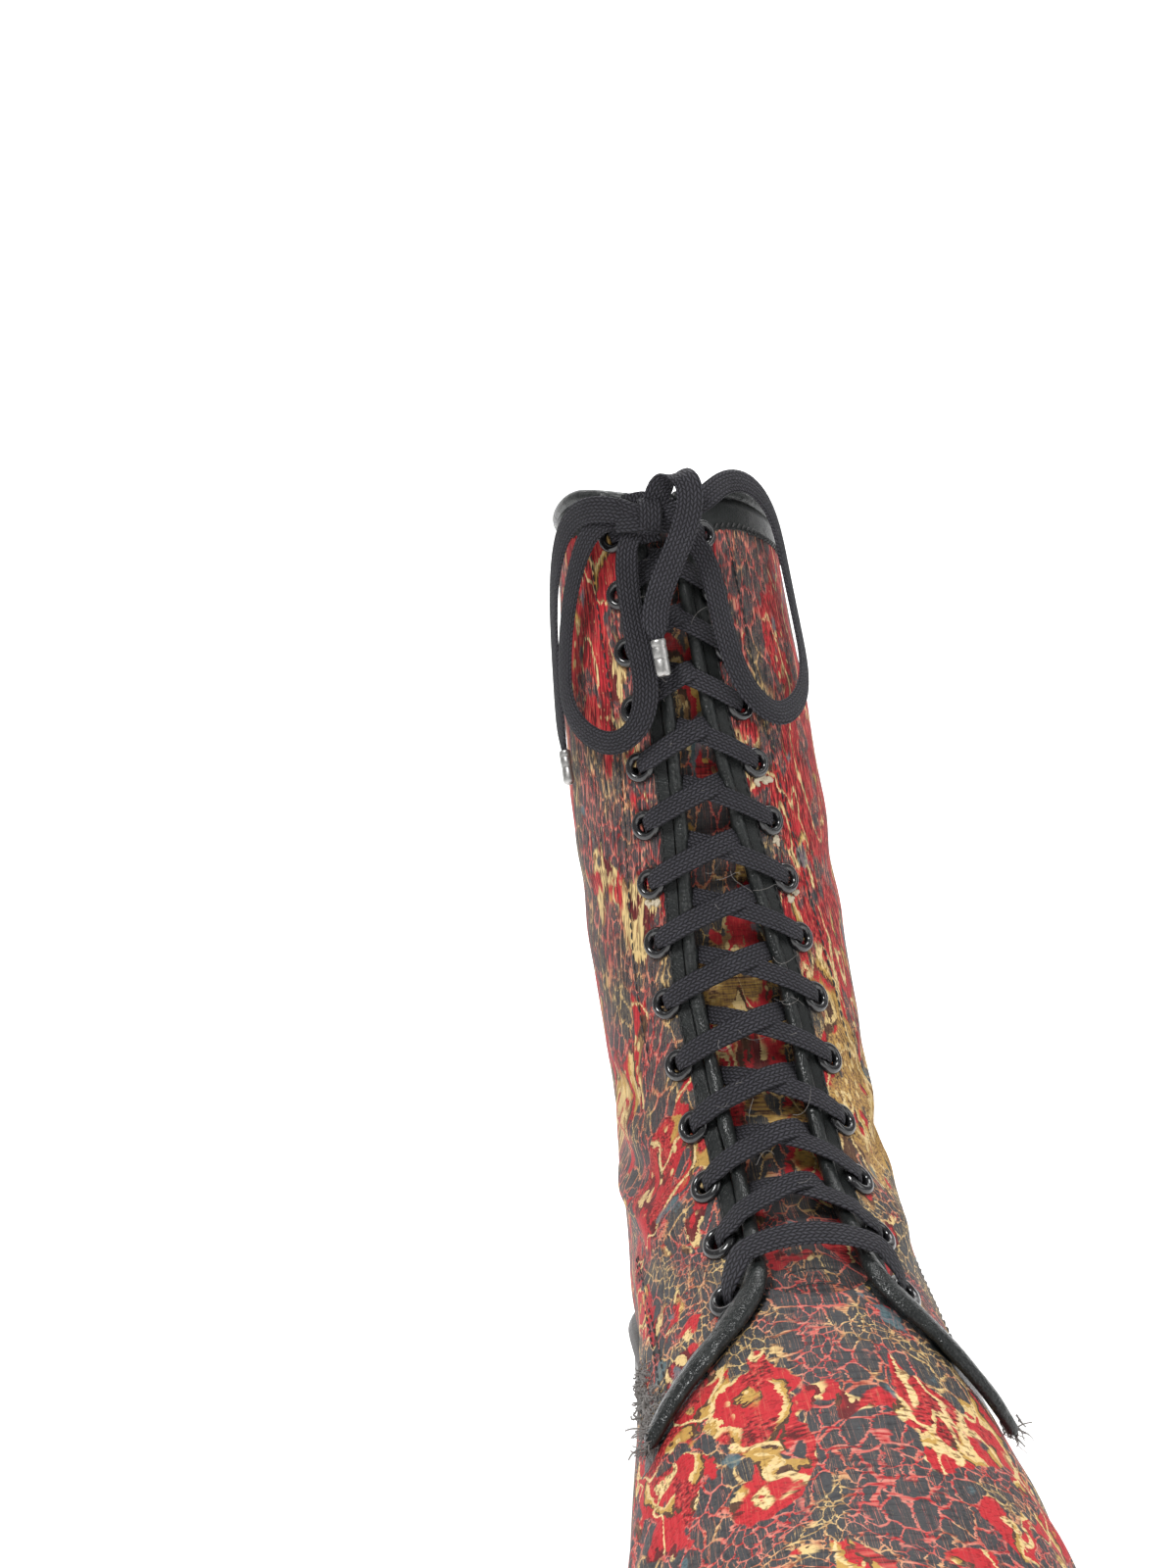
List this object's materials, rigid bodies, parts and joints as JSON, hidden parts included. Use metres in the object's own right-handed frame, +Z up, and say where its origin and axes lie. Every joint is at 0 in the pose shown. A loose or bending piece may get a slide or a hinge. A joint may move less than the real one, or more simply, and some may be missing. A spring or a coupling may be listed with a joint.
{
  "type": "mid-calf boot",
  "caption": "Empty laced mid-calf boot for a left foot: hollow shaft and foot in printed leather, tongue, piped eyelet facings, tied flat lace, lugged sole with a low block heel.",
  "frame": {"origin": "middle of the box's bottom, on the floor plane under the sole", "axes": "+Z up along the shaft, -Y toward the toe, +X to the outer (lateral) side of the left foot"},
  "size_m": [0.0988, 0.2824, 0.308],
  "materials": {
    "upper": "matt printed net over dark leather",
    "trim": "satin",
    "sole": "satin",
    "footbed": "matt",
    "eyelet": "gloss",
    "lace": "matt braid",
    "aglet": "crimped"
  },
  "bodies": {
    "root": {"sole": "sole", "insole": "footbed", "upper": "upper", "tongue": "upper", "piping_medial": "trim", "piping_lateral": "trim", "collar_roll": "trim", "eyelet_m01": "eyelet", "eyelet_m02": "eyelet", "eyelet_m03": "eyelet", "eyelet_m04": "eyelet", "eyelet_m05": "eyelet", "eyelet_m06": "eyelet", "eyelet_m07": "eyelet", "eyelet_m08": "eyelet", "eyelet_m09": "eyelet", "eyelet_m10": "eyelet", "eyelet_m11": "eyelet", "eyelet_m12": "eyelet", "eyelet_m13": "eyelet", "eyelet_m14": "eyelet", "eyelet_l01": "eyelet", "eyelet_l02": "eyelet", "eyelet_l03": "eyelet", "eyelet_l04": "eyelet", "eyelet_l05": "eyelet", "eyelet_l06": "eyelet", "eyelet_l07": "eyelet", "eyelet_l08": "eyelet", "eyelet_l09": "eyelet", "eyelet_l10": "eyelet", "eyelet_l11": "eyelet", "eyelet_l12": "eyelet", "eyelet_l13": "eyelet", "eyelet_l14": "eyelet", "lace_row_01": "lace", "lace_row_02": "lace", "lace_row_03": "lace", "lace_row_04": "lace", "lace_row_05": "lace", "lace_row_06": "lace", "lace_row_07": "lace", "lace_row_08": "lace", "lace_row_09": "lace", "lace_row_10": "lace", "lace_row_11": "lace", "lace_row_12": "lace", "lace_row_13": "lace", "lace_row_14": "lace", "lace_knot": "lace", "lace_loop_lateral": "lace", "lace_loop_medial": "lace", "lace_end_centre": "lace", "lace_end_medial": "lace", "aglet_centre": "aglet", "aglet_medial": "aglet"}
  },
  "joints": []
}
